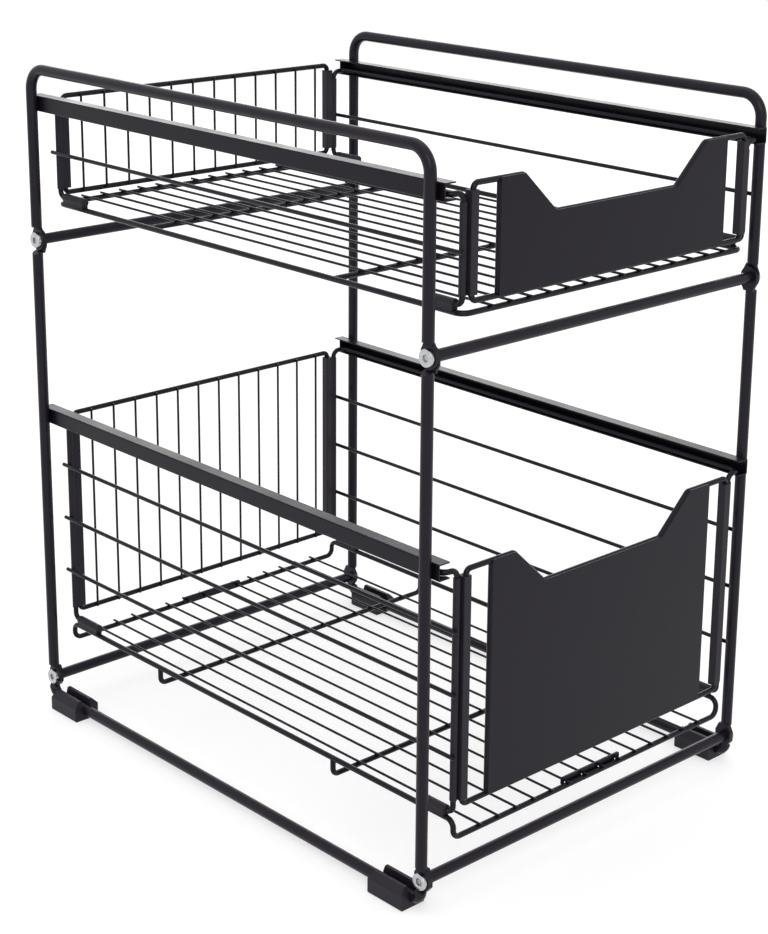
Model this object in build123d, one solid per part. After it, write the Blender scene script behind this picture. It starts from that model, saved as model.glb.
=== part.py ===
from build123d import *
from math import acos, sin, sqrt, tan
import os

os.makedirs("parts", exist_ok=True)

# Millimetres. X runs to the right, Y to the back, Z up from the floor. The front is at low Y.

# Shelf frame: two bent round bars on each side, joined by four crossbars
post_spacing_x = 275.0      # between the post axes, left to right
post_spacing_y = 368.0      # between the post axes, front to back
bar_diameter = 7.0
middle_joint_z = 327.3      # axis of the middle crossbars
upper_frame_height = 111.9  # from the middle crossbars up to the top rails
base_joint_z = 18.9         # axis of the base crossbars
bottom_rail_z = 6.7         # axis of the bottom rails
top_bend_radius = 14.0
bottom_bend_radius = 6.5

# The bars are pressed flat where a bolt goes through
flat_width = 12.0
flat_end = 6.8              # from the bolt axis to the rounded end of a flat
flat_thickness = 3.2        # one flat alone; two lapped flats share it
flat_straight = 3.5         # length of full width on the bar's side of the bolt
flat_below_base = 2.5       # length of full width under a base bolt
flat_flare = 8.5            # from the bolt axis to where the bar is round again at its edges
press_slope_length = 2.4    # length of the slope between round bar and flat

# Crossbars and their bolts
crossbar_diameter = 7.0
bolt_diameter = 5.0
bolt_length = 16.0
bolt_head_diameter = 10.3
bolt_head_height = 2.6
bolt_head_edge = 0.5
bolt_socket_width = 4.0
bolt_socket_depth = 1.6
bolt_hole_clearance = 0.05  # on the radius
bolt_end_clearance = 1.0    # left below the bolt in its tapped hole

# Guides: sheet steel channels, open towards the drawer
guide_past_post = 3.8       # how far a guide reaches past the posts at each end
guide_height = 10.0
guide_flange = 8.3
guide_sheet = 0.8
guide_outer_corner = 0.9
guide_weld_sink = 0.2       # how deep the web sits in the posts
upper_guide_below_rail = 28.0   # from the top rails' axes to the underside of the upper guides
stop_clearance = 0.3        # between the stop tab and the closed drawer

# Feet: plastic blocks pressed onto the bottom rails from below
foot_length = 28.5
foot_base_width = 18.4
foot_side_height = 9.5      # its sides are upright up to here
foot_top_width = 10.6
foot_height = 13.6
foot_slot_width = 6.2
foot_end_slope = 1.6
foot_edge = 0.8
foot_clearance = 0.05
back_foot_inset = 3.0       # from the start of the bend to the back foot

# Drawer, shared by both
wire_diameter = 3.4
side_wire_diameter = 2.6
grid_wire_diameter = 1.6
weld_sink = 0.2             # how deep two crossing wires are welded into each other
front_past_post = 7.0       # from the front posts' axes to those of the front corner wires
back_past_post = 2.0        # from the back posts' axes to those of the back corner wires
side_frame_inset = 2.0      # from the corner wires to the side frame's uprights, along the drawer
corner_gap = 4.8            # between the two upright wires of one corner, across the drawer
runner_offset = 10.0        # from the side frame's uprights out to its runner
runner_side_clearance = 3.7     # between the runner and the web of its guide
runner_clearance = 0.3      # under the runner, in the guide
hook_straight = 0.1         # between the two bends that lead into a runner
foot_bend_radius = 4.0
corner_bend_radius = 3.5    # front and back frames

# Corner clips: a plastic square sleeve on the end frame's upright, with a thin round one beside it
clip_clearance = 0.05       # around every wire in plastic
clip_square = 5.6
clip_square_shift = 0.6     # of the square's middle from the corner wire, into the drawer
clip_square_edge = 0.6
clip_round_diameter = 4.4
clip_web = 2.4

# Rail clips: plastic sleeves on the side frames' short feet, which saddle the tray's side rails
rail_clip_start = 4.5       # from the side frame's upright
rail_clip_end = 28.0
rail_clip_diameter = 5.6
rail_clip_saddle_width = 4.4
rail_clip_saddle_reach = 0.9    # the saddle ends this far above the rail's axis
rail_clip_edge = 1.0
short_foot_rise = 5.0       # from the tray rail's axis to the side frame's short foot
short_foot_cover = 1.4      # plastic past the end of the short foot

# Side wires
side_wire_past_front = 2.2  # past the axes of the front corner wires
side_wire_past_back = 2.4
side_wire_pitch = 38.0

# Trays
tray_front_inset = 1.5      # from the front corner wires to the tray's front wire
front_cross_inset = 103.5   # from the tray's front wire to the first cross wire
back_cross_inset = 99.0     # from the tray's back wire to the other cross wire
cross_bend_radius = 4.0
cross_wire_seat = 0.6       # how far their ends are pressed into the side rails
floor_wire_pitch = 15.1
floor_wire_margin = 15.0    # at least this far from the side rails
floor_wire_overhang = 3.5   # past the axes of the tray's front and back wires

# Back grids
back_upright_pitch = 18.2
back_upright_margin = 9.0   # at least this far from the corner wires
back_upright_overlap = 1.0  # past the axes of the frame's top and bottom wires

# Front panels
panel_inset = 18.5          # from the corner wires to the panel's side edge
panel_sheet = 1.0
panel_edge = 0.4
panel_corner_radius = 1.5
panel_weld_sink = 0.1       # how deep the wires sit in the panel's back
panel_below_wire = 0.6      # the wire shows this much beyond the panel's upper outline
panel_bottom_rise = 1.6     # panel's lower edge above the underside of the bottom wire
notch_inset = 18.7          # from the panel's side edge to the notch's upper corner
notch_slope_width = 25.0
notch_depth = 23.5
stile_inset = 1.3           # from the panel's side edge to the axis of the wire behind it

# Lower drawer
lower_rail_z = 52.0             # axes of the tray's side rails
lower_side_height = 149.8       # from there to the underside of the lower guides
lower_frame_bottom_rise = 9.4   # from the tray's side rails to the end frames' bottom wires
lower_frame_top_rise = 2.1      # from the guide's underside to the end frames' top wires
lower_tray_drop = 11.0          # front and back wires of the tray below its side rails
tray_drop_radius = 5.0
lower_side_wire_rise = 40.4     # from the tray's side rails to the lowest side wire
lower_side_wire_count = 3

# Upper drawer
upper_side_height = 62.7
upper_frame_bottom_rise = 6.8
upper_frame_top_rise = 7.5
tray_corner_radius = 6.0
upper_side_wire_rise = 34.0
upper_side_wire_count = 1

# Sheet tabs in the middle of the lower tray's front and back wires
tab_half_length = 26.0
tab_height = 5.0
tab_sheet = 1.0
tab_corner = 1.5
tab_slot_clearance = 0.1

post_x = post_spacing_x / 2
post_y = post_spacing_y / 2
bar_radius = bar_diameter / 2
wire_radius = wire_diameter / 2
grid_radius = grid_wire_diameter / 2
flat_inner_x = post_x - bar_radius          # flats lie flush with the bars' inner sides
web_outer_x = flat_inner_x + guide_weld_sink
guide_length = post_spacing_y + bar_diameter + 2 * guide_past_post
top_rail_z = middle_joint_z + upper_frame_height
lower_guide_z = lower_rail_z + lower_side_height        # undersides of the guides
upper_guide_z = top_rail_z - upper_guide_below_rail
upper_rail_z = upper_guide_z - upper_side_height
runner_x = web_outer_x - guide_sheet - runner_side_clearance - wire_radius
side_x = runner_x - runner_offset           # axes of the side frames' uprights and of the tray's side rails
corner_x = side_x - corner_gap              # axes of the end frames' uprights
front_plane_y = -post_y - front_past_post   # axes of the front corner wires
back_plane_y = post_y + back_past_post      # axes of the back corner wires
side_front_y = front_plane_y + side_frame_inset
side_back_y = back_plane_y - side_frame_inset
tray_front_y = front_plane_y + tray_front_inset
tray_back_y = back_plane_y
panel_half_width = corner_x - panel_inset
stile_x = panel_half_width - stile_inset
notch_top_half = panel_half_width - notch_inset
notch_bottom_half = notch_top_half - notch_slope_width


def rounded_path(points, bend_radius, closed=False):
    """Straight runs joined by round bends."""
    corners = [Vector(*point) for point in points]
    count = len(corners)
    turning = range(count) if closed else range(1, count - 1)
    bends = {}
    for index in turning:
        corner = corners[index]
        before = (corners[index - 1] - corner).normalized()
        after = (corners[(index + 1) % count] - corner).normalized()
        half_angle = acos(max(-1.0, min(1.0, before.dot(after)))) / 2
        reach = bend_radius / tan(half_angle)
        middle = corner + (before + after).normalized() * (bend_radius / sin(half_angle) - bend_radius)
        bends[index] = (corner + before * reach, middle, corner + after * reach)
    edges = []
    if closed:
        for index in range(count):
            following = (index + 1) % count
            edges.append(Line(bends[index][2], bends[following][0]))
            edges.append(ThreePointArc(*bends[following]))
        return Wire([edge.edge() for edge in edges])
    at = corners[0]
    for index in turning:
        edges.append(Line(at, bends[index][0]))
        edges.append(ThreePointArc(*bends[index]))
        at = bends[index][2]
    edges.append(Line(at, corners[-1]))
    return Wire([edge.edge() for edge in edges])


def bent_bar(points, bend_radius, diameter, closed=False):
    """A round bar along straight runs and bends."""
    path = rounded_path(points, bend_radius, closed)
    section = Plane(origin=path @ 0, z_dir=path % 0) * Circle(diameter / 2)
    return sweep(section, path=path)


def straight_bar(start, end, diameter):
    axis = Vector(*end) - Vector(*start)
    return extrude(Plane(origin=start, z_dir=axis) * Circle(diameter / 2), amount=axis.length)


def mirrored_x(shape):
    return mirror(shape, about=Plane.YZ)


def in_side_plane(points, x):
    return [(x, y, z) for y, z in points]


# Shelf frame, built on the right-hand side (+X)

def pressed_flat(bar, y, z, upward, outer_x, inner_x, has_end):
    """Press the bar flat around a bolt and add the widened flat. upward: the bar goes on upwards."""
    way = 1 if upward else -1
    far = 4 * bar_diameter
    slope_start = z + way * (flat_end + press_slope_length)
    slope_end = z + way * flat_end
    if has_end:
        flat_stop = z - way * far
        round_stop = flat_stop
    else:
        flat_stop = bottom_rail_z + bottom_bend_radius
        round_stop = flat_stop - press_slope_length
    for face_x, side in ((outer_x, 1), (inner_x, -1)):
        round_x = post_x + side * bar_radius
        if side * (round_x - face_x) <= 0:
            continue
        away = round_x + side * far
        outline = Polyline((round_x, slope_start), (face_x, slope_end), (face_x, flat_stop),
                           (round_x, round_stop), (away, round_stop), (away, slope_start), close=True)
        cutter = extrude(Plane.XZ * make_face(outline), amount=bar_diameter, both=True)
        bar -= Pos(0, y, 0) * cutter
    if has_end:
        bar -= Pos(post_x, y, z - way * (far / 2 + flat_end - flat_width / 2)) * Box(far, far, far)
    return bar + flat_plate(y, z, way, outer_x, inner_x, has_end)


def flat_plate(y, z, way, outer_x, inner_x, has_end):
    """The widened flat itself: full width at the bolt, narrowing to the bar's width."""
    half = flat_width / 2
    low = flat_end - half if has_end else flat_below_base
    outline = Polyline((-half, -way * low), (-half, way * flat_straight), (-bar_radius, way * flat_flare),
                       (bar_radius, way * flat_flare), (half, way * flat_straight), (half, -way * low), close=True)
    profile = make_face(outline)
    if has_end:
        profile += Pos(0, -way * low) * Circle(half)
    else:
        bend_top = bottom_rail_z + bottom_bend_radius - z
        profile += make_face(Polyline((-half, -low), (half, -low), (bar_radius, bend_top),
                                      (-bar_radius, bend_top), close=True))
    return extrude(Plane(origin=(inner_x, y, z), x_dir=(0, 1, 0), z_dir=(1, 0, 0)) * profile,
                   amount=outer_x - inner_x)


def bolt_hole(y, z):
    reach = 4 * bar_diameter
    return straight_bar((post_x - reach, y, z), (post_x + reach, y, z), bolt_diameter + 2 * bolt_hole_clearance)


def guide_outline(z):
    """Outside of a guide as one block, for seating it in the posts."""
    return Pos(web_outer_x - guide_flange / 2, 0, z + guide_height / 2) * Box(
        guide_flange, guide_length, guide_height)


def upper_side_frame():
    lap_x = flat_inner_x + flat_thickness / 2
    outer_x = flat_inner_x + flat_thickness
    points = in_side_plane([(-post_y, middle_joint_z - flat_end), (-post_y, top_rail_z), (post_y, top_rail_z),
                           (post_y, middle_joint_z - flat_end)], post_x)
    bar = bent_bar(points, top_bend_radius, bar_diameter)
    for y in (-post_y, post_y):
        bar = pressed_flat(bar, y, middle_joint_z, True, outer_x, lap_x, True)
        bar -= bolt_hole(y, middle_joint_z)
    return bar - guide_outline(upper_guide_z)


def lower_side_frame():
    lap_x = flat_inner_x + flat_thickness / 2
    outer_x = flat_inner_x + flat_thickness
    points = in_side_plane([(-post_y, middle_joint_z + flat_end), (-post_y, bottom_rail_z), (post_y, bottom_rail_z),
                           (post_y, middle_joint_z + flat_end)], post_x)
    bar = bent_bar(points, bottom_bend_radius, bar_diameter)
    for y in (-post_y, post_y):
        bar = pressed_flat(bar, y, middle_joint_z, False, lap_x, flat_inner_x, True)
        bar = pressed_flat(bar, y, base_joint_z, True, outer_x, flat_inner_x, False)
        bar -= bolt_hole(y, middle_joint_z)
        bar -= bolt_hole(y, base_joint_z)
    return bar - guide_outline(lower_guide_z)


def crossbar(y, z):
    """Round bar between the flats, with a blind tapped hole in each end."""
    bar = straight_bar((-flat_inner_x, y, z), (flat_inner_x, y, z), crossbar_diameter)
    depth = bolt_length - flat_thickness + bolt_end_clearance
    hole = straight_bar((flat_inner_x - depth, y, z), (flat_inner_x, y, z), bolt_diameter + 2 * bolt_hole_clearance)
    return bar - hole - mirrored_x(hole)


def frame_bolt(y, z):
    """Low round head with a hex socket, seen from outside."""
    seat_x = flat_inner_x + flat_thickness
    head = Cylinder(bolt_head_diameter / 2, bolt_head_height, align=(Align.CENTER, Align.CENTER, Align.MIN))
    head = fillet(head.edges().group_by(Axis.Z)[-1], bolt_head_edge)
    shank = Cylinder(bolt_diameter / 2, bolt_length, align=(Align.CENTER, Align.CENTER, Align.MAX))
    socket = extrude(RegularPolygon(bolt_socket_width / 2, 6, major_radius=False), amount=bolt_socket_depth)
    bolt = head + shank - Pos(0, 0, bolt_head_height - bolt_socket_depth) * socket
    return Plane(origin=(seat_x, y, z), z_dir=(1, 0, 0)) * bolt


def foot(middle_y):
    """Plastic block with a slot in its top that snaps over the rail."""
    base = foot_base_width / 2
    top = foot_top_width / 2
    outline = Polyline((-base, 0), (base, 0), (base, foot_side_height), (top, foot_height), (-top, foot_height),
                       (-base, foot_side_height), close=True)
    block = extrude(Plane.XZ * make_face(outline), amount=foot_length / 2, both=True)
    for way in (-1, 1):
        end = way * foot_length / 2
        wedge = Polyline((end, foot_side_height), (end, foot_height), (end - way * foot_end_slope, foot_height),
                         close=True)
        block -= extrude(Plane.YZ * make_face(wedge), amount=foot_base_width, both=True)
    block = chamfer(block.edges().filter_by(Axis.Y).group_by(Axis.Z)[0], foot_edge)
    block = fillet(block.edges().filter_by(Axis.Y).group_by(Axis.Z)[-1], foot_edge)
    block -= Pos(0, 0, bottom_rail_z + foot_height / 2) * Box(foot_slot_width, 2 * foot_length, foot_height)
    block -= straight_bar((0, -foot_length, bottom_rail_z), (0, foot_length, bottom_rail_z),
                          bar_diameter + 2 * foot_clearance)
    return Pos(post_x, middle_y, 0) * block


def guide(z):
    """Channel bent from sheet, open to the inside, with a stop tab folded in at the back."""
    channel = Pos(web_outer_x - guide_flange / 2, 0, z + guide_height / 2) * Box(
        guide_flange, guide_length, guide_height)
    outer_edges = channel.edges().filter_by(Axis.Y).group_by(Axis.X)[-1]
    channel = fillet(outer_edges, guide_outer_corner)
    hollow_height = guide_height - 2 * guide_sheet
    channel -= Pos(web_outer_x - guide_sheet - guide_flange / 2, 0, z + guide_height / 2) * Box(
        guide_flange, 2 * guide_length, hollow_height)
    tab_depth = guide_flange - guide_sheet
    past_bend = web_outer_x - guide_flange - side_x - hook_radius()
    stop_y = side_back_y - hook_radius() + sqrt((hook_radius() + wire_radius) ** 2 - past_bend ** 2) + stop_clearance
    tab = Pos(web_outer_x - guide_sheet, stop_y, z + guide_height / 2) * Box(
        tab_depth, guide_sheet, hollow_height, align=(Align.MAX, Align.MIN, Align.CENTER))
    return channel + tab


# Drawers, built on the right-hand side (+X) where they are in pairs

def runner_z(guide_z):
    return guide_z + guide_sheet + runner_clearance + wire_radius


def hook_radius():
    """Two equal bends take the runner from the guide to the side frame's upright."""
    return (runner_offset - hook_straight) / 2


def side_frame(guide_z, rail_z):
    """One bent wire: the runner, a hook and an upright at each end, and two short feet."""
    top = runner_z(guide_z)
    low = rail_z + short_foot_rise
    upper_points = [(side_x, side_front_y, (top + low) / 2), (side_x, side_front_y, top),
                    (runner_x, side_front_y, top), (runner_x, side_back_y, top),
                    (side_x, side_back_y, top), (side_x, side_back_y, (top + low) / 2)]
    wire = bent_bar(upper_points, hook_radius(), wire_diameter)
    for y, way in ((side_front_y, 1), (side_back_y, -1)):
        foot_points = [(side_x, y, (top + low) / 2), (side_x, y, low),
                       (side_x, y + way * (rail_clip_end - short_foot_cover), low)]
        wire += bent_bar(foot_points, foot_bend_radius, wire_diameter)
    return wire


def side_wire_x():
    return side_x + wire_radius + side_wire_diameter / 2 - weld_sink


def side_wire(z):
    """Thin wire along the outside, with rounded ends, welded to the side frame's uprights."""
    radius = side_wire_diameter / 2
    start = front_plane_y - side_wire_past_front + radius
    end = back_plane_y + side_wire_past_back - radius
    slant = radius * sqrt(0.5)
    outline = Line((start - radius, 0), (end + radius, 0))
    outline += ThreePointArc((end + radius, 0), (end + slant, slant), (end, radius))
    outline += Line((end, radius), (start, radius))
    outline += ThreePointArc((start, radius), (start - slant, slant), (start - radius, 0))
    half_section = Plane(origin=(side_wire_x(), 0, z), x_dir=(0, 1, 0), z_dir=(1, 0, 0)) * make_face(outline)
    return revolve(half_section, axis=Axis((side_wire_x(), 0, z), (0, 1, 0)))


def side_wire_levels(rail_z, rise, count):
    return [rail_z + rise + index * side_wire_pitch for index in range(count)]


def spread(pitch, width):
    """Even places about the middle, as many as the width holds."""
    count = int(width / pitch) + 1
    return [(index - (count - 1) / 2) * pitch for index in range(count)]


def end_frame_points(y, bottom_z, top_z):
    return [(-corner_x, y, bottom_z), (corner_x, y, bottom_z), (corner_x, y, top_z), (-corner_x, y, top_z)]


def back_frame(bottom_z, top_z):
    return bent_bar(end_frame_points(back_plane_y, bottom_z, top_z), corner_bend_radius, wire_diameter, closed=True)


def back_uprights(bottom_z, top_z, frame_wire):
    """Thin wires welded to the inner side of the back frame."""
    y = back_plane_y - wire_radius - grid_radius + weld_sink
    uprights = []
    for x in spread(back_upright_pitch, 2 * (corner_x - back_upright_margin)):
        upright = straight_bar((x, y, bottom_z - back_upright_overlap), (x, y, top_z + back_upright_overlap),
                               grid_wire_diameter)
        uprights.append(upright - frame_wire)
    return uprights


def front_frame(bottom_z, top_z):
    """Wire loop whose top dips with the notch in the panel."""
    dip = top_z - notch_depth
    points = [(-corner_x, bottom_z), (corner_x, bottom_z), (corner_x, top_z), (notch_top_half, top_z),
              (notch_bottom_half, dip), (-notch_bottom_half, dip), (-notch_top_half, top_z), (-corner_x, top_z)]
    return bent_bar([(x, front_plane_y, z) for x, z in points], corner_bend_radius, wire_diameter, closed=True)


def front_stiles(bottom_z, top_z, frame_wire):
    """Upright wires behind the panel's side edges, butted between the frame's top and bottom wires."""
    stiles = []
    for x in (-stile_x, stile_x):
        stile = straight_bar((x, front_plane_y, bottom_z), (x, front_plane_y, top_z), wire_diameter)
        stiles.append(stile - frame_wire)
    return stiles


def front_panel(bottom_z, top_z):
    """Sheet steel front with a wide notch in its upper edge."""
    low = bottom_z - wire_radius + panel_bottom_rise
    high = top_z + wire_radius - panel_below_wire
    dip = high - notch_depth
    outline = Polyline((-panel_half_width, low), (panel_half_width, low), (panel_half_width, high),
                       (notch_top_half, high), (notch_bottom_half, dip), (-notch_bottom_half, dip),
                       (-notch_top_half, high), (-panel_half_width, high), close=True)
    face = make_face(outline)
    face = fillet(face.vertices(), panel_corner_radius)
    back_face_y = front_plane_y - wire_radius + panel_weld_sink
    panel = extrude(Plane.XZ.offset(-back_face_y) * face, amount=panel_sheet)
    return fillet(panel.faces().sort_by(Axis.Y)[0].edges(), panel_edge)


def lower_tray_rim():
    """Closed loop whose ends drop below its side rails."""
    low = lower_rail_z - lower_tray_drop
    points = [(side_x, tray_front_y, lower_rail_z), (side_x, tray_back_y, lower_rail_z),
              (side_x, tray_back_y, low), (-side_x, tray_back_y, low), (-side_x, tray_back_y, lower_rail_z),
              (-side_x, tray_front_y, lower_rail_z), (-side_x, tray_front_y, low), (side_x, tray_front_y, low)]
    return bent_bar(points, tray_drop_radius, wire_diameter, closed=True)


def upper_tray_rim():
    points = [(side_x, tray_front_y, upper_rail_z), (side_x, tray_back_y, upper_rail_z),
              (-side_x, tray_back_y, upper_rail_z), (-side_x, tray_front_y, upper_rail_z)]
    return bent_bar(points, tray_corner_radius, wire_diameter, closed=True)


def tray_cross_wires(rail_z, drop, rim):
    """Two wires under the floor, butted to the side rails or bent up under them."""
    wires = []
    seat = wire_radius - cross_wire_seat
    for y in (tray_front_y + front_cross_inset, tray_back_y - back_cross_inset):
        if drop > 0:
            points = [(-side_x, y, rail_z - seat), (-side_x, y, rail_z - drop), (side_x, y, rail_z - drop),
                      (side_x, y, rail_z - seat)]
            wire = bent_bar(points, cross_bend_radius, wire_diameter)
        else:
            wire = straight_bar((seat - side_x, y, rail_z), (side_x - seat, y, rail_z), wire_diameter)
        wires.append(wire - rim)
    return wires


def floor_wire_z(end_wire_z):
    return end_wire_z + wire_radius + grid_radius - weld_sink


def floor_wire_places():
    return spread(floor_wire_pitch, 2 * (side_x - floor_wire_margin))


def tray_floor_wires(end_wire_z, rim, cross_wires):
    """Thin wires from front to back, welded on top of the tray's end wires and cross wires."""
    z = floor_wire_z(end_wire_z)
    wires = []
    for x in floor_wire_places():
        wire = straight_bar((x, tray_front_y - floor_wire_overhang, z), (x, tray_back_y + floor_wire_overhang, z),
                            grid_wire_diameter)
        wire -= rim
        for cross_wire in cross_wires:
            wire -= cross_wire
        wires.append(wire)
    return wires


def tray_tab(wire_y, way, rim):
    """Upright strip welded to the inner side of a tray end wire, slotted for the floor wires."""
    low = lower_rail_z - lower_tray_drop
    near = wire_y + way * (wire_radius - weld_sink)
    outline = Pos(0, low + tab_height / 2) * Rectangle(2 * tab_half_length, tab_height)
    outline = fillet(outline.vertices(), tab_corner)
    tab = Pos(0, near + way * tab_sheet / 2, 0) * extrude(Plane.XZ * outline, amount=tab_sheet / 2, both=True)
    tab -= rim
    z = floor_wire_z(low)
    slot_radius = grid_radius + tab_slot_clearance
    for x in floor_wire_places():
        if abs(x) < tab_half_length + slot_radius:
            tab -= Pos(x, wire_y, z) * Rot(90, 0, 0) * Cylinder(slot_radius, 8 * wire_radius)
            tab -= Pos(x, wire_y, z - tab_height / 2) * Box(2 * slot_radius, 8 * wire_radius, tab_height)
    return tab


def corner_clip(way, bottom_z, top_z, guide_z, side_wires_z):
    """Plastic sleeves on the corner's two upright wires, joined by a web."""
    corner_y, side_y = (front_plane_y, side_front_y) if way > 0 else (back_plane_y, side_back_y)
    bottom = bottom_z + corner_bend_radius
    square_top = top_z - corner_bend_radius
    round_top = min(square_top, runner_z(guide_z) - runner_offset / 2)
    square = Pos(corner_x, corner_y + way * clip_square_shift, bottom) * Box(
        clip_square, clip_square, square_top - bottom, align=(Align.CENTER, Align.CENTER, Align.MIN))
    square = fillet(square.edges().filter_by(Axis.Z), clip_square_edge)
    clip = square + straight_bar((side_x, side_y, bottom), (side_x, side_y, round_top), clip_round_diameter)
    clip += Pos(corner_x, side_y, bottom) * Box(
        corner_gap, clip_web, round_top - bottom, align=(Align.MIN, Align.CENTER, Align.MIN))
    grown = 2 * clip_clearance
    for x, y in ((corner_x, corner_y), (side_x, side_y)):
        clip -= straight_bar((x, y, bottom - corner_gap), (x, y, square_top + corner_gap), wire_diameter + grown)
    for z in side_wires_z:
        clip -= straight_bar((side_wire_x(), corner_y - way * clip_square, z),
                             (side_wire_x(), corner_y + 2 * way * clip_square, z), side_wire_diameter + grown)
    return clip


def rail_clip(way, rail_z):
    """Plastic sleeve on a short foot of the side frame, with a saddle over the tray's side rail."""
    side_y = side_front_y if way > 0 else side_back_y
    near = side_y + way * rail_clip_start
    far = side_y + way * rail_clip_end
    low = rail_z + short_foot_rise
    sleeve = straight_bar((side_x, near, low), (side_x, far, low), rail_clip_diameter)
    sleeve = fillet(sleeve.edges().filter_by(GeomType.CIRCLE), rail_clip_edge)
    saddle_length = rail_clip_end - rail_clip_start - 2 * rail_clip_edge
    sleeve += Pos(side_x, (near + far) / 2, rail_z + rail_clip_saddle_reach) * Box(
        rail_clip_saddle_width, saddle_length, short_foot_rise - rail_clip_saddle_reach,
        align=(Align.CENTER, Align.CENTER, Align.MIN))
    grown = wire_diameter + 2 * clip_clearance
    sleeve -= straight_bar((side_x, side_y, low), (side_x, far - way * short_foot_cover, low), grown)
    return sleeve - straight_bar((side_x, side_y, rail_z), (side_x, far + way * rail_clip_end, rail_z), grown)


def build_drawer(prefix, guide_z, rail_z, drop, bottom_z, top_z, side_wires_z, rim):
    """All the pieces of one drawer, by node name."""
    nodes = {}
    nodes[prefix + "_tray_rim"] = rim
    cross = tray_cross_wires(rail_z, drop, rim)
    nodes[prefix + "_tray_cross_wires"] = cross
    nodes[prefix + "_tray_floor_wires"] = tray_floor_wires(rail_z - drop, rim, cross)
    rear = back_frame(bottom_z, top_z)
    nodes[prefix + "_back_frame"] = rear
    nodes[prefix + "_back_uprights"] = back_uprights(bottom_z, top_z, rear)
    panel = front_panel(bottom_z, top_z)
    front = front_frame(bottom_z, top_z) - panel
    nodes[prefix + "_front_frame"] = front
    nodes[prefix + "_front_stiles"] = [stile - panel for stile in front_stiles(bottom_z, top_z, front)]
    nodes[prefix + "_front_panel"] = panel
    frame_wire = side_frame(guide_z, rail_z)
    nodes[prefix + "_side_frame_right"] = frame_wire
    nodes[prefix + "_side_frame_left"] = mirrored_x(frame_wire)
    wires = [side_wire(z) - frame_wire for z in side_wires_z]
    nodes[prefix + "_side_wires_right"] = wires
    nodes[prefix + "_side_wires_left"] = [mirrored_x(wire) for wire in wires]
    rail_clips = []
    for place, way in (("front", 1), ("back", -1)):
        clip = corner_clip(way, bottom_z, top_z, guide_z, side_wires_z)
        nodes[prefix + "_corner_clip_" + place + "_right"] = clip
        nodes[prefix + "_corner_clip_" + place + "_left"] = mirrored_x(clip)
        sleeve = rail_clip(way, rail_z)
        rail_clips += [sleeve, mirrored_x(sleeve)]
    nodes[prefix + "_rail_clips"] = rail_clips
    return nodes


def build_frame():
    """All the pieces of the shelf frame, by node name."""
    nodes = {}
    upper = upper_side_frame()
    lower = lower_side_frame()
    nodes["shelf_upper_frame_right"] = upper
    nodes["shelf_upper_frame_left"] = mirrored_x(upper)
    nodes["shelf_lower_frame_right"] = lower
    nodes["shelf_lower_frame_left"] = mirrored_x(lower)
    bolts = []
    for level, z in (("mid", middle_joint_z), ("base", base_joint_z)):
        for place, y in (("front", -post_y), ("back", post_y)):
            nodes[level + "_crossbar_" + place] = crossbar(y, z)
            bolt = frame_bolt(y, z)
            bolts.append(bolt)
            bolts.append(mirrored_x(bolt))
    nodes["frame_bolts"] = bolts
    bend_start = post_y - bottom_bend_radius
    front_foot = foot(-bend_start + foot_length / 2)
    back_foot = foot(bend_start - back_foot_inset - foot_length / 2)
    nodes["foot_front_right"] = front_foot
    nodes["foot_front_left"] = mirrored_x(front_foot)
    nodes["foot_back_right"] = back_foot
    nodes["foot_back_left"] = mirrored_x(back_foot)
    for level, z in (("upper", upper_guide_z), ("lower", lower_guide_z)):
        channel = guide(z)
        nodes[level + "_guide_right"] = channel
        nodes[level + "_guide_left"] = mirrored_x(channel)
    return nodes


def solids_of(shape):
    pieces = shape if isinstance(shape, list) else [shape]
    return [solid for piece in pieces for solid in piece.solids()]


def save(name, shape, shift):
    """Write one node, moved so that the origin lies under the middle of the whole."""
    solids = [shift * solid for solid in solids_of(shape)]
    whole = solids[0] if len(solids) == 1 else Compound(children=solids)
    whole.label = name
    export_step(whole, "parts/" + name + ".step")
    print(name, len(solids), round(sum(solid.volume for solid in solids), 2))


all_nodes = build_frame()
lower_levels = side_wire_levels(lower_rail_z, lower_side_wire_rise, lower_side_wire_count)
all_nodes.update(build_drawer("lower_drawer", lower_guide_z, lower_rail_z, lower_tray_drop,
                              lower_rail_z + lower_frame_bottom_rise, lower_guide_z + lower_frame_top_rise,
                              lower_levels, lower_tray_rim()))
all_nodes["lower_drawer_tray_tab_front"] = tray_tab(tray_front_y, 1, all_nodes["lower_drawer_tray_rim"])
all_nodes["lower_drawer_tray_tab_back"] = tray_tab(tray_back_y, -1, all_nodes["lower_drawer_tray_rim"])
upper_levels = side_wire_levels(upper_rail_z, upper_side_wire_rise, upper_side_wire_count)
all_nodes.update(build_drawer("upper_drawer", upper_guide_z, upper_rail_z, 0,
                              upper_rail_z + upper_frame_bottom_rise, upper_guide_z + upper_frame_top_rise,
                              upper_levels, upper_tray_rim()))
boxes = [solid.bounding_box() for node_shape in all_nodes.values() for solid in solids_of(node_shape)]
middle_y = (min(box.min.Y for box in boxes) + max(box.max.Y for box in boxes)) / 2
for node_name, node_shape in all_nodes.items():
    save(node_name, node_shape, Pos(0, -middle_y, 0))
print("moved by", round(-middle_y, 3))
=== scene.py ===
from math import cos, pi, radians, sin, tau
import bpy
from mathutils import Matrix, Vector


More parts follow.
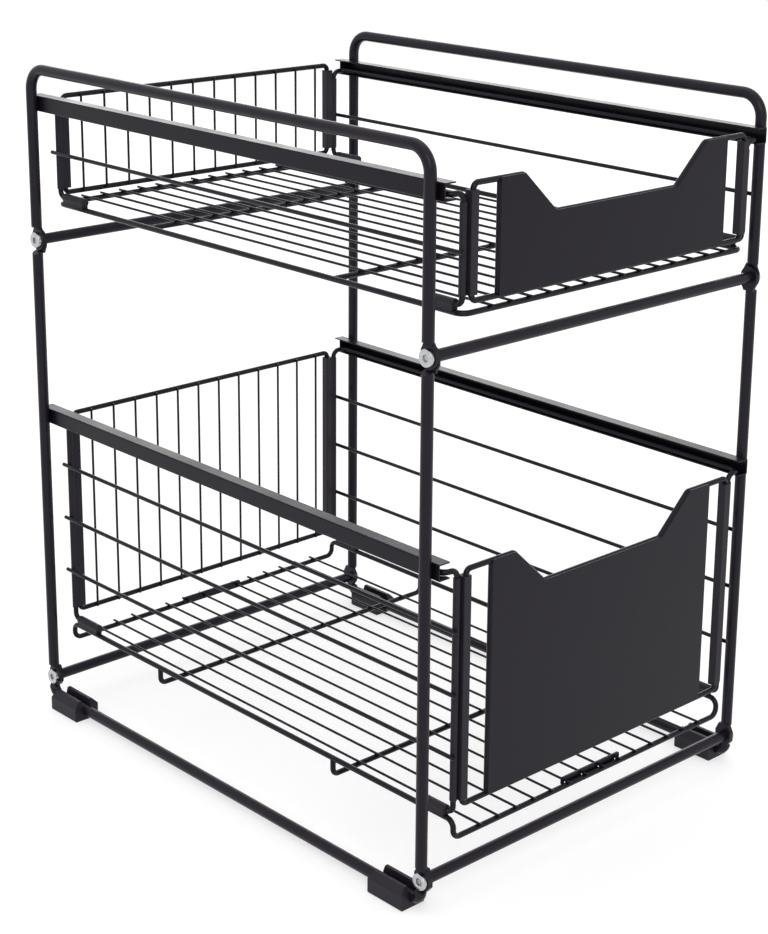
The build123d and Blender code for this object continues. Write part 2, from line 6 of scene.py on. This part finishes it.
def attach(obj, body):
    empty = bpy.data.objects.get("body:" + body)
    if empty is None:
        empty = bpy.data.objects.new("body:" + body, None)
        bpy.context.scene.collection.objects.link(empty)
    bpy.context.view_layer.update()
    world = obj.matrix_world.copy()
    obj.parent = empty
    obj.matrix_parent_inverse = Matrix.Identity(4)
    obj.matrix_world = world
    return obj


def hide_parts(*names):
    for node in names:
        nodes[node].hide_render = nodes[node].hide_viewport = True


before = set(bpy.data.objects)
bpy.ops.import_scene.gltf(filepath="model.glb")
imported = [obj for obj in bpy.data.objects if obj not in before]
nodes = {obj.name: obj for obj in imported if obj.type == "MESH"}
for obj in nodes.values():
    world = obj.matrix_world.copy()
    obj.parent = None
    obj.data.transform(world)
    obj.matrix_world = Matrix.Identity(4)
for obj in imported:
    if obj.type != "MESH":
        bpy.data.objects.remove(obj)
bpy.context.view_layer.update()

MM = 0.001


# Side frames of the shelf
# Four bent round bars of solid steel, pressed flat where bolts go through. They carry a satin
# black powder coat, sprayed on and baked, which leaves a faint orange peel and soft highlights.

def linear(code):
    """A hex sRGB colour as the linear RGBA that Blender's shaders take."""
    channels = [int(code[i:i + 2], 16) / 255 for i in (1, 3, 5)]
    return [c / 12.92 if c <= 0.04045 else ((c + 0.055) / 1.055) ** 2.4 for c in channels] + [1.0]


def add_node(tree, kind, inputs=None, **settings):
    """Add a node; inputs are values, or sockets to link from."""
    node = tree.nodes.new(kind)
    for name, value in settings.items():
        setattr(node, name, value)
    for key, value in (inputs or {}).items():
        if isinstance(value, bpy.types.NodeSocket):
            tree.links.new(value, node.inputs[key])
        else:
            node.inputs[key].default_value = value
    return node


def new_material(name):
    """An empty node material with its tree and its Principled shader."""
    material = bpy.data.materials.new(name)
    material.use_nodes = True
    tree = material.node_tree
    tree.nodes.clear()
    shader = add_node(tree, "ShaderNodeBsdfPrincipled")
    add_node(tree, "ShaderNodeOutputMaterial", {"Surface": shader.outputs["BSDF"]})
    return material, tree, shader


def powder_coat(name, code, dust_code, roughness, peel_mm):
    """Baked powder: a nearly black body, an orange peel of about peel_mm, and thin spots of dust."""
    material, tree, shader = new_material(name)
    place = add_node(tree, "ShaderNodeTexCoord").outputs["Object"]
    clouds = add_node(tree, "ShaderNodeTexNoise", {
        "Vector": place, "Scale": 1 / (45 * MM), "Detail": 3.0})
    dust = add_node(tree, "ShaderNodeMapRange", {
        "Value": clouds.outputs["Fac"], "From Min": 0.5, "From Max": 0.8, "To Min": 0.0, "To Max": 0.5})
    tint = add_node(tree, "ShaderNodeMix", {
        "Factor": dust.outputs["Result"], "A": linear(code), "B": linear(dust_code)}, data_type="RGBA")
    tree.links.new(tint.outputs["Result"], shader.inputs["Base Color"])
    grain = add_node(tree, "ShaderNodeTexNoise", {
        "Vector": place, "Scale": 1 / (peel_mm * MM), "Detail": 2.0})
    matt = add_node(tree, "ShaderNodeMapRange", {
        "Value": clouds.outputs["Fac"], "From Min": 0.3, "From Max": 0.7,
        "To Min": roughness - 0.04, "To Max": roughness + 0.05})
    tree.links.new(matt.outputs["Result"], shader.inputs["Roughness"])
    peel = add_node(tree, "ShaderNodeBump", {
        "Height": grain.outputs["Fac"], "Strength": 0.35, "Distance": 0.06 * MM})
    tree.links.new(peel.outputs["Normal"], shader.inputs["Normal"])
    shader.inputs["IOR"].default_value = 1.5
    shader.inputs["Specular IOR Level"].default_value = 0.2
    shader.inputs["Specular Tint"].default_value = linear("#f6f0ff")
    return material


def dress(material, *names):
    """Give CAD nodes a material."""
    for name in names:
        mesh = nodes[name].data
        mesh.materials.clear()
        mesh.materials.append(material)


bar_coat = powder_coat("black_powder_coat_on_bars", "#1b181f", "#242128", 0.3, 1.8)
dress(bar_coat, "shelf_upper_frame_left", "shelf_upper_frame_right",
      "shelf_lower_frame_left", "shelf_lower_frame_right")


# Crossbars
# Four round steel bars between the side frames, drilled and tapped at both ends for the bolts
# and coated like the frames.

dress(bar_coat, "mid_crossbar_front", "mid_crossbar_back", "base_crossbar_front", "base_crossbar_back")


# Frame bolts
# Eight M5 screws with a low round head and a 4 mm hex socket, turned from steel and zinc plated.
# The plating is bright and a little blue, and the head keeps fine rings from the lathe.

def ring(radius, along, sides=48):
    """One ring of a form turned about X."""
    angles = [tau * i / sides for i in range(sides)]
    return [Vector((along, radius * cos(angle), radius * sin(angle))) for angle in angles]


def hex_ring(across_flats, along, sides=48):
    """A hexagon with as many points as a ring has."""
    points = []
    for i in range(sides):
        angle = tau * i / sides
        past_middle = (angle + pi / 6) % (pi / 3) - pi / 6
        radius = across_flats / 2 / cos(past_middle)
        points.append(Vector((along, radius * cos(angle), radius * sin(angle))))
    return points


def skin(name, rings):
    """A closed mesh through rings of the same number of points."""
    sides = len(rings[0])
    points = [point for one in rings for point in one]
    faces = []
    for level in range(len(rings) - 1):
        for i in range(sides):
            j = (i + 1) % sides
            low = level * sides
            faces.append((low + i, low + j, low + sides + j, low + sides + i))
    faces.append(tuple(reversed(range(sides))))
    faces.append(tuple(range((len(rings) - 1) * sides, len(rings) * sides)))
    mesh = bpy.data.meshes.new(name)
    mesh.from_pydata(points, [], faces)
    mesh.update()
    return mesh


shank_radius = 2.5 * MM
shank_length = 16 * MM
shank_bevel = 0.4 * MM
head_radius = 5.15 * MM
head_height = 2.6 * MM
seat_bevel = 0.2 * MM
edge_radius = 0.7 * MM
edge_middle = 1.85 * MM         # height of the rounded edge's middle over the seat
edge_steps = 6
crown_radius = 3.4 * MM         # the flat on top of the head
socket_width = 4.0 * MM
socket_mouth_radius = 2.62 * MM
socket_mouth_depth = 0.25 * MM
socket_floor = 1.0 * MM
drill_tip_radius = 0.25 * MM
drill_tip = 0.55 * MM

bolt_rings = [ring(shank_radius - shank_bevel, -shank_length), ring(shank_radius, shank_bevel - shank_length),
              ring(shank_radius, 0), ring(head_radius - seat_bevel, 0), ring(head_radius, seat_bevel)]
for step in range(edge_steps):
    angle = pi / 2 * step / (edge_steps - 1)
    bolt_rings.append(ring(head_radius - edge_radius + edge_radius * cos(angle),
                           edge_middle + edge_radius * sin(angle)))
bolt_rings += [ring(crown_radius, head_height), ring(socket_mouth_radius, head_height),
               hex_ring(socket_width, head_height - socket_mouth_depth), hex_ring(socket_width, socket_floor),
               ring(drill_tip_radius, drill_tip)]
bolt_mesh = skin("bolt", bolt_rings)
radius_mark = bolt_mesh.attributes.new("turned_radius", "FLOAT", "POINT")
for index, vertex in enumerate(bolt_mesh.vertices):
    radius_mark.data[index].value = vertex.co.yz.length
bolt_mesh.shade_smooth()
bolt_mesh.set_sharp_from_angle(angle=radians(38))

zinc, tree, shader = new_material("zinc_plated_steel")
turned = add_node(tree, "ShaderNodeAttribute", attribute_name="turned_radius").outputs["Fac"]
# Real lathe rings are about 0.1 mm apart; they are drawn at 0.45 mm so that they hold at this distance.
phase = add_node(tree, "ShaderNodeMath", {0: turned, 1: tau / (0.45 * MM)}, operation="MULTIPLY")
wave = add_node(tree, "ShaderNodeMath", {0: phase.outputs[0]}, operation="SINE")
place = add_node(tree, "ShaderNodeTexCoord").outputs["Object"]
spots = add_node(tree, "ShaderNodeTexNoise", {"Vector": place, "Scale": 1 / (2.5 * MM), "Detail": 3.0})
tint = add_node(tree, "ShaderNodeMix", {
    "Factor": spots.outputs["Fac"], "A": linear("#a9acb2"), "B": linear("#c9c9c7")}, data_type="RGBA")
matt = add_node(tree, "ShaderNodeMapRange", {
    "Value": spots.outputs["Fac"], "To Min": 0.14, "To Max": 0.28})
lines = add_node(tree, "ShaderNodeBump", {
    "Height": wave.outputs[0], "Strength": 0.25, "Distance": 0.02 * MM})
tree.links.new(tint.outputs["Result"], shader.inputs["Base Color"])
tree.links.new(matt.outputs["Result"], shader.inputs["Roughness"])
tree.links.new(lines.outputs["Normal"], shader.inputs["Normal"])
shader.inputs["Metallic"].default_value = 1.0


def geometry_tree(name, inputs):
    """A Geometry Nodes group with named inputs; gives the tree and its input node."""
    tree = bpy.data.node_groups.new(name, "GeometryNodeTree")
    for label, kind in inputs:
        tree.interface.new_socket(label, in_out="INPUT", socket_type=kind)
    tree.interface.new_socket("Geometry", in_out="OUTPUT", socket_type="NodeSocketGeometry")
    return tree, add_node(tree, "NodeGroupInput")


def grown(name, tree, values, material):
    """Run a Geometry Nodes group once and keep its result as a plain mesh object."""
    carrier = bpy.data.objects.new(name + "_carrier", bpy.data.meshes.new(name + "_carrier"))
    bpy.context.scene.collection.objects.link(carrier)
    modifier = carrier.modifiers.new("grow", "NODES")
    modifier.node_group = tree
    for item in tree.interface.items_tree:
        if item.in_out == "INPUT" and item.name in values:
            modifier[item.identifier] = values[item.name]
        elif item.in_out == "INPUT" and item.name == "Material":
            modifier[item.identifier] = material
    evaluated = carrier.evaluated_get(bpy.context.evaluated_depsgraph_get())
    mesh = bpy.data.meshes.new_from_object(evaluated)
    mesh.name = name
    bpy.data.objects.remove(carrier)
    piece = bpy.data.objects.new(name, mesh)
    bpy.context.scene.collection.objects.link(piece)
    return piece


post_span = 368 * MM
mid_z = 327.3 * MM
base_z = 18.9 * MM
middle_y = 1.15 * MM            # of the posts, from the origin
flat_x = 137.2 * MM             # where the bolt heads rest
largest_spin = radians(60)      # after which a hexagon looks the same

bolt_source = bpy.data.objects.new("bolt_source", bolt_mesh)
tree, given = geometry_tree("bolts_on_both_sides", [
    ("Bolt", "NodeSocketObject"), ("Span", "NodeSocketFloat"), ("Rise", "NodeSocketFloat"),
    ("Middle", "NodeSocketVector"), ("Seed", "NodeSocketInt"), ("Material", "NodeSocketMaterial")])
corners = add_node(tree, "GeometryNodeMeshGrid", {
    "Size X": given.outputs["Span"], "Size Y": given.outputs["Rise"], "Vertices X": 2, "Vertices Y": 2})
upright = add_node(tree, "GeometryNodeTransform", {
    "Geometry": corners.outputs["Mesh"], "Translation": given.outputs["Middle"],
    "Rotation": (radians(90), 0, radians(90))})
bolt_info = add_node(tree, "GeometryNodeObjectInfo", {
    "Object": given.outputs["Bolt"], "As Instance": True})
spin = add_node(tree, "FunctionNodeRandomValue", {
    "Min": (0, 0, 0), "Max": (largest_spin, 0, 0), "Seed": given.outputs["Seed"]},
    data_type="FLOAT_VECTOR")
heads = add_node(tree, "GeometryNodeInstanceOnPoints", {
    "Points": upright.outputs["Geometry"], "Instance": bolt_info.outputs["Geometry"],
    "Rotation": spin.outputs["Value"]})
solid_heads = add_node(tree, "GeometryNodeRealizeInstances", {"Geometry": heads.outputs["Instances"]})
mirrored = add_node(tree, "GeometryNodeTransform", {
    "Geometry": solid_heads.outputs["Geometry"], "Rotation": (0, 0, pi)})
both = add_node(tree, "GeometryNodeJoinGeometry", {"Geometry": solid_heads.outputs["Geometry"]})
tree.links.new(mirrored.outputs["Geometry"], both.inputs["Geometry"])
finished = add_node(tree, "GeometryNodeSetMaterial", {
    "Geometry": both.outputs["Geometry"], "Material": given.outputs["Material"]})
add_node(tree, "NodeGroupOutput", {"Geometry": finished.outputs["Geometry"]})
bolts = grown("frame_bolt_set", tree, {
    "Bolt": bolt_source, "Span": post_span, "Rise": mid_z - base_z,
    "Middle": (flat_x, 0.0, (mid_z + base_z) / 2), "Seed": 7}, zinc)
bolts.data.transform(Matrix.Translation((0, middle_y, 0)))
bpy.data.objects.remove(bolt_source)
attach(bolts, "shelf_frame")
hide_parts("frame_bolts")


# Feet and clips
# Injection-moulded black plastic: the feet that snap over the bottom rails, the corner clips round
# the drawers' upright wires and the rail clips on their side rails. The mould's fine spark texture
# makes them a shade duller than the coated steel.

plastic, tree, shader = new_material("moulded_black_plastic")
place = add_node(tree, "ShaderNodeTexCoord").outputs["Object"]
clouds = add_node(tree, "ShaderNodeTexNoise", {"Vector": place, "Scale": 1 / (12 * MM), "Detail": 2.0})
tint = add_node(tree, "ShaderNodeMix", {
    "Factor": clouds.outputs["Fac"], "A": linear("#1b1820"), "B": linear("#27232c")}, data_type="RGBA")
# The real spark texture is about 0.1 mm; it is drawn at 0.6 mm so that it holds at this distance.
spark = add_node(tree, "ShaderNodeTexNoise", {"Vector": place, "Scale": 1 / (0.6 * MM), "Detail": 1.0})
texture = add_node(tree, "ShaderNodeBump", {
    "Height": spark.outputs["Fac"], "Strength": 0.3, "Distance": 0.04 * MM})
matt = add_node(tree, "ShaderNodeMapRange", {
    "Value": clouds.outputs["Fac"], "To Min": 0.46, "To Max": 0.56})
tree.links.new(tint.outputs["Result"], shader.inputs["Base Color"])
tree.links.new(matt.outputs["Result"], shader.inputs["Roughness"])
tree.links.new(texture.outputs["Normal"], shader.inputs["Normal"])
shader.inputs["IOR"].default_value = 1.49
shader.inputs["Specular IOR Level"].default_value = 0.25
dress(plastic, *[name for name in nodes if name.startswith("foot_") or "_clip" in name])


# Guides
# Four channels bent from 0.8 mm steel sheet and welded to the posts, open towards the drawers.
# They have the same coat, smoother on flat sheet, and their upper flanges catch the light.

sheet_coat = powder_coat("black_powder_coat_on_sheet", "#100d14", "#17141b", 0.34, 2.4)
dress(sheet_coat, "upper_guide_left", "upper_guide_right", "lower_guide_left", "lower_guide_right")


# Drawers, bent wires
# Both drawers are welded from 3.4 mm steel wire: a tray rim with two cross wires, end frames, and
# one bent wire on each side that makes the runner and the uprights. The coat is glossier on wire.

wire_coat = powder_coat("black_powder_coat_on_wires", "#131017", "#1b181f", 0.27, 1.2)
for drawer in ("upper_drawer", "lower_drawer"):
    for part in ("tray_rim", "tray_cross_wires", "back_frame", "front_frame", "front_stiles",
                 "side_frame_left", "side_frame_right"):
        dress(wire_coat, drawer + "_" + part)


# Drawers, thin straight wires
# The tray floors and back grids are rows of 1.6 mm wires and the side wires are 2.6 mm, all cut
# to length, their ends a little rounded by the coat, and spot welded where they cross.

tree, given = geometry_tree("row_of_wires", [
    ("Count", "NodeSocketInt"), ("Step", "NodeSocketVector"), ("Start", "NodeSocketVector"),
    ("End", "NodeSocketVector"), ("Diameter", "NodeSocketFloat"), ("End Rounding", "NodeSocketFloat"),
    ("Material", "NodeSocketMaterial")])
run = add_node(tree, "ShaderNodeVectorMath", {0: given.outputs["End"], 1: given.outputs["Start"]},
               operation="SUBTRACT")
way = add_node(tree, "ShaderNodeVectorMath", {0: run.outputs["Vector"]}, operation="NORMALIZE")
rounding = given.outputs["End Rounding"]
inset = add_node(tree, "ShaderNodeVectorMath", {0: way.outputs["Vector"], "Scale": rounding},
                 operation="SCALE")
near = add_node(tree, "ShaderNodeVectorMath", {0: given.outputs["Start"], 1: inset.outputs["Vector"]})
far = add_node(tree, "ShaderNodeVectorMath", {0: given.outputs["End"], 1: inset.outputs["Vector"]},
               operation="SUBTRACT")
index = add_node(tree, "GeometryNodeInputIndex").outputs[0]
position = given.outputs["Start"]
turning_points = (near.outputs["Vector"], far.outputs["Vector"], given.outputs["End"])
for number, point in enumerate(turning_points, 1):
    reached = add_node(tree, "FunctionNodeCompare", {2: index, 3: number}, data_type="INT",
                       operation="GREATER_EQUAL")
    chosen = add_node(tree, "GeometryNodeSwitch", {
        "Switch": reached.outputs["Result"], "False": position, "True": point}, input_type="VECTOR")
    position = chosen.outputs["Output"]
line = add_node(tree, "GeometryNodeMeshLine", {"Count": 4})
curve = add_node(tree, "GeometryNodeMeshToCurve", {"Mesh": line.outputs["Mesh"]})
placed = add_node(tree, "GeometryNodeSetPosition", {
    "Geometry": curve.outputs["Curve"], "Position": position})
half = add_node(tree, "ShaderNodeMath", {0: given.outputs["Diameter"], 1: 0.5}, operation="MULTIPLY")
end_radius = add_node(tree, "ShaderNodeMath", {0: half.outputs[0], 1: rounding}, operation="SUBTRACT")
from_middle = add_node(tree, "ShaderNodeMath", {0: index, 1: 1.5}, operation="SUBTRACT")
distance = add_node(tree, "ShaderNodeMath", {0: from_middle.outputs[0]}, operation="ABSOLUTE")
at_end = add_node(tree, "FunctionNodeCompare", {0: distance.outputs[0], 1: 1.0},
                  operation="GREATER_THAN")
radius = add_node(tree, "GeometryNodeSwitch", {
    "Switch": at_end.outputs["Result"], "False": half.outputs[0], "True": end_radius.outputs[0]},
    input_type="FLOAT")
round_section = add_node(tree, "GeometryNodeCurvePrimitiveCircle", {"Resolution": 14, "Radius": 1.0})
wire = add_node(tree, "GeometryNodeCurveToMesh", {
    "Curve": placed.outputs["Geometry"], "Profile Curve": round_section.outputs["Curve"],
    "Scale": radius.outputs["Output"], "Fill Caps": True})
places = add_node(tree, "GeometryNodeMeshLine", {
    "Count": given.outputs["Count"], "Offset": given.outputs["Step"]})
row = add_node(tree, "GeometryNodeInstanceOnPoints", {
    "Points": places.outputs["Mesh"], "Instance": wire.outputs["Mesh"]})
real_row = add_node(tree, "GeometryNodeRealizeInstances", {"Geometry": row.outputs["Instances"]})
finished = add_node(tree, "GeometryNodeSetMaterial", {
    "Geometry": real_row.outputs["Geometry"], "Material": given.outputs["Material"]})
add_node(tree, "NodeGroupOutput", {"Geometry": finished.outputs["Geometry"]})
wire_row_tree = tree
end_rounding = 0.3


def wire_row(name, count, step, start, end, diameter, body, node):
    """A row of straight wires that stands for one CAD node; lengths in millimetres."""
    values = {"Count": count, "Step": [n * MM for n in step], "Start": [n * MM for n in start],
              "End": [n * MM for n in end], "Diameter": diameter * MM, "End Rounding": end_rounding * MM}
    piece = grown(name, wire_row_tree, values, wire_coat)
    piece.data.shade_smooth()
    piece.data.set_sharp_from_angle(angle=radians(40))
    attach(piece, body)
    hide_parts(node)
    return piece


grid_diameter = 1.6
floor_pitch = 15.1
floor_count = 14
floor_front, floor_back = -191.85, 190.65
upright_pitch = 18.2
upright_count = 12
upright_y = 184.85
first_floor_x = -floor_pitch * (floor_count - 1) / 2
first_upright_x = -upright_pitch * (upright_count - 1) / 2
for drawer, floor_z, frame_low, frame_high in (("lower_drawer", 43.3, 60.4, 204.9),
                                               ("upper_drawer", 350.8, 354.3, 419.7)):
    wire_row(drawer + "_floor_grid", floor_count, (floor_pitch, 0, 0), (first_floor_x, floor_front, floor_z),
             (first_floor_x, floor_back, floor_z), grid_diameter, drawer, drawer + "_tray_floor_wires")
    wire_row(drawer + "_back_grid", upright_count, (upright_pitch, 0, 0),
             (first_upright_x, upright_y, frame_low), (first_upright_x, upright_y, frame_high),
             grid_diameter, drawer, drawer + "_back_uprights")

side_diameter = 2.6
side_pitch = 38.0
side_front, side_back = -192.05, 189.55
for drawer, lowest, count in (("lower_drawer", 92.4, 3), ("upper_drawer", 382.5, 1)):
    for side, side_x in (("left", -120.8), ("right", 120.8)):
        wire_row(drawer + "_side_rails_" + side, count, (0, 0, side_pitch), (side_x, side_front, lowest),
                 (side_x, side_back, lowest), side_diameter, drawer, drawer + "_side_wires_" + side)


# Drawer fronts and tray tabs
# Each front is 1 mm steel sheet with a wide notch for the hand, its edge rounded over before
# coating. Two short strips of sheet stand behind the lower tray's end wires.

dress(sheet_coat, "upper_drawer_front_panel", "lower_drawer_front_panel",
      "lower_drawer_tray_tab_front", "lower_drawer_tray_tab_back")


# Floor and backdrop
# A plain pale sheet under the shelf. To the camera, and in reflections, it is lifted to the
# backdrop's white, and it keeps the soft shadow of the shelf.

def to_the_eye(tree):
    """1 for camera, glossy and transmission rays, else 0."""
    path = add_node(tree, "ShaderNodeLightPath")
    seen = add_node(tree, "ShaderNodeMath", {
        0: path.outputs["Is Camera Ray"], 1: path.outputs["Is Glossy Ray"]}, operation="MAXIMUM")
    seen = add_node(tree, "ShaderNodeMath", {
        0: seen.outputs[0], 1: path.outputs["Is Transmission Ray"]}, operation="MAXIMUM")
    return seen.outputs[0]


floor_half = 12.0
floor_lift = 0.57               # brings the lit paper up to the backdrop's white
studio_level = 0.85             # of the backdrop's white as light on the shelf

floor_mesh = bpy.data.meshes.new("floor")
floor_mesh.from_pydata([(-floor_half, -floor_half, 0), (floor_half, -floor_half, 0),
                        (floor_half, floor_half, 0), (-floor_half, floor_half, 0)], [], [(0, 1, 2, 3)])
floor = bpy.data.objects.new("floor", floor_mesh)
bpy.context.scene.collection.objects.link(floor)
paper = bpy.data.materials.new("pale_paper")
paper.use_nodes = True
tree = paper.node_tree
tree.nodes.clear()
lit = add_node(tree, "ShaderNodeBsdfDiffuse", {"Color": linear("#bdbdbd")})
lift = add_node(tree, "ShaderNodeMath", {0: to_the_eye(tree), 1: floor_lift}, operation="MULTIPLY")
glow = add_node(tree, "ShaderNodeEmission", {"Color": linear("#ffffff"), "Strength": lift.outputs[0]})
total = add_node(tree, "ShaderNodeAddShader", {0: lit.outputs[0], 1: glow.outputs[0]})
add_node(tree, "ShaderNodeOutputMaterial", {"Surface": total.outputs[0]})
floor_mesh.materials.append(paper)

world = bpy.data.worlds.new("studio")
bpy.context.scene.world = world
world.use_nodes = True
tree = world.node_tree
tree.nodes.clear()
level = add_node(tree, "ShaderNodeMapRange", {
    "Value": to_the_eye(tree), "To Min": studio_level, "To Max": 1.0})
backdrop = add_node(tree, "ShaderNodeBackground", {
    "Color": linear("#ffffff"), "Strength": level.outputs["Result"]})
add_node(tree, "ShaderNodeOutputWorld", {"Surface": backdrop.outputs[0]})


# Studio lamps
# Large soft boxes: one in front and to the left, one above, and a low wide one behind on the
# right that the upper flanges of the guides mirror.

def soft_box(name, place, aim, width, height, watts):
    """A rectangular lamp at a place, turned to what it is aimed at."""
    lamp = bpy.data.lights.new(name, "AREA")
    lamp.shape = "RECTANGLE"
    lamp.size = width
    lamp.size_y = height
    lamp.energy = watts
    holder = bpy.data.objects.new(name, lamp)
    bpy.context.scene.collection.objects.link(holder)
    holder.location = place
    holder.rotation_euler = (Vector(aim) - Vector(place)).to_track_quat("-Z", "Y").to_euler()


soft_box("front_box", (-1.6, -2.2, 2.0), (0, 0, 0.2), 1.6, 1.6, 20)
soft_box("top_box", (0.0, 0.3, 2.6), (0, 0, 0.2), 2.0, 2.0, 10)
soft_box("back_box", (1.9, 2.0, 0.95), (0, 0, 0.35), 2.2, 0.9, 14)


# Camera
# Placed and turned as the photograph's own camera, found from the shelf's corners in it.

frame_width, frame_height = 768, 934        # pixels
focal_length = 2056.66                      # pixels
axis_x, axis_y = 417.51, 349.63             # where the lens axis meets the picture
sensor_size = 36.0
camera = bpy.data.cameras.new("camera")
camera.sensor_fit = "AUTO"
camera.sensor_width = sensor_size
camera.lens = focal_length * sensor_size / frame_height
camera.shift_x = (frame_width / 2 - axis_x) / frame_height
camera.shift_y = (axis_y - frame_height / 2) / frame_height
camera.clip_end = 60.0
holder = bpy.data.objects.new("camera", camera)
bpy.context.scene.collection.objects.link(holder)
across = Vector((0.726834, -0.686717, 0.011499))
upward = Vector((0.179084, 0.205656, 0.962099))
backward = Vector((-0.663054, -0.697227, 0.272458))
turn = Matrix((across, upward, backward)).transposed()
holder.matrix_world = Matrix.Translation((-0.85708, -0.931482, 0.625763)) @ turn.to_4x4()
bpy.context.scene.camera = holder

bpy.context.scene.view_settings.view_transform = "Standard"
